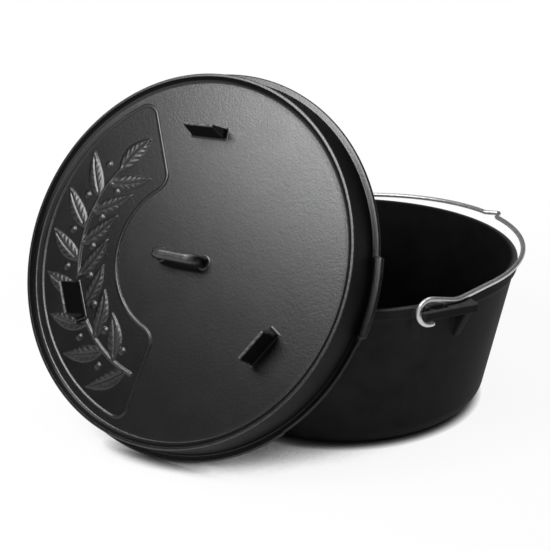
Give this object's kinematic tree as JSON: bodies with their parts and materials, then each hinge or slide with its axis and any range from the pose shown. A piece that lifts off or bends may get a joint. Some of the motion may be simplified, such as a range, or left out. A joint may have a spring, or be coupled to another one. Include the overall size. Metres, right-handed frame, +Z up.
{
  "type": "camp dutch oven",
  "caption": "Large round cast iron camp cooking pot with a wire bail folded on its rim and a flanged, footed lid leaned against its side.",
  "frame": {"origin": "centre of the pot's flat base, on the floor", "axes": "+Z up along the pot's axis, Y through the two bail ears, +X to the side that the bail folds to; the lid leans on the -X side"},
  "size_m": [0.5695, 0.436, 0.3829],
  "materials": {
    "iron": "seasoned satin black, fine cast grain",
    "wire": "bright drawn wire"
  },
  "bodies": {
    "pot": {"pot": "iron"},
    "lid": {"lid": "iron"},
    "bail": {"bail": "wire"}
  },
  "joints": [
    {"name": "lid_lift", "type": "slide", "parent": "pot", "child": "lid", "axis": [0, 0, 1], "range_m": [0, 0.3]},
    {"name": "bail_swing", "type": "hinge", "parent": "pot", "child": "bail", "pos_m": [-0.0035, 0, 0.1682], "axis": [0, -1, 0], "range_deg": [0, 95]}
  ]
}
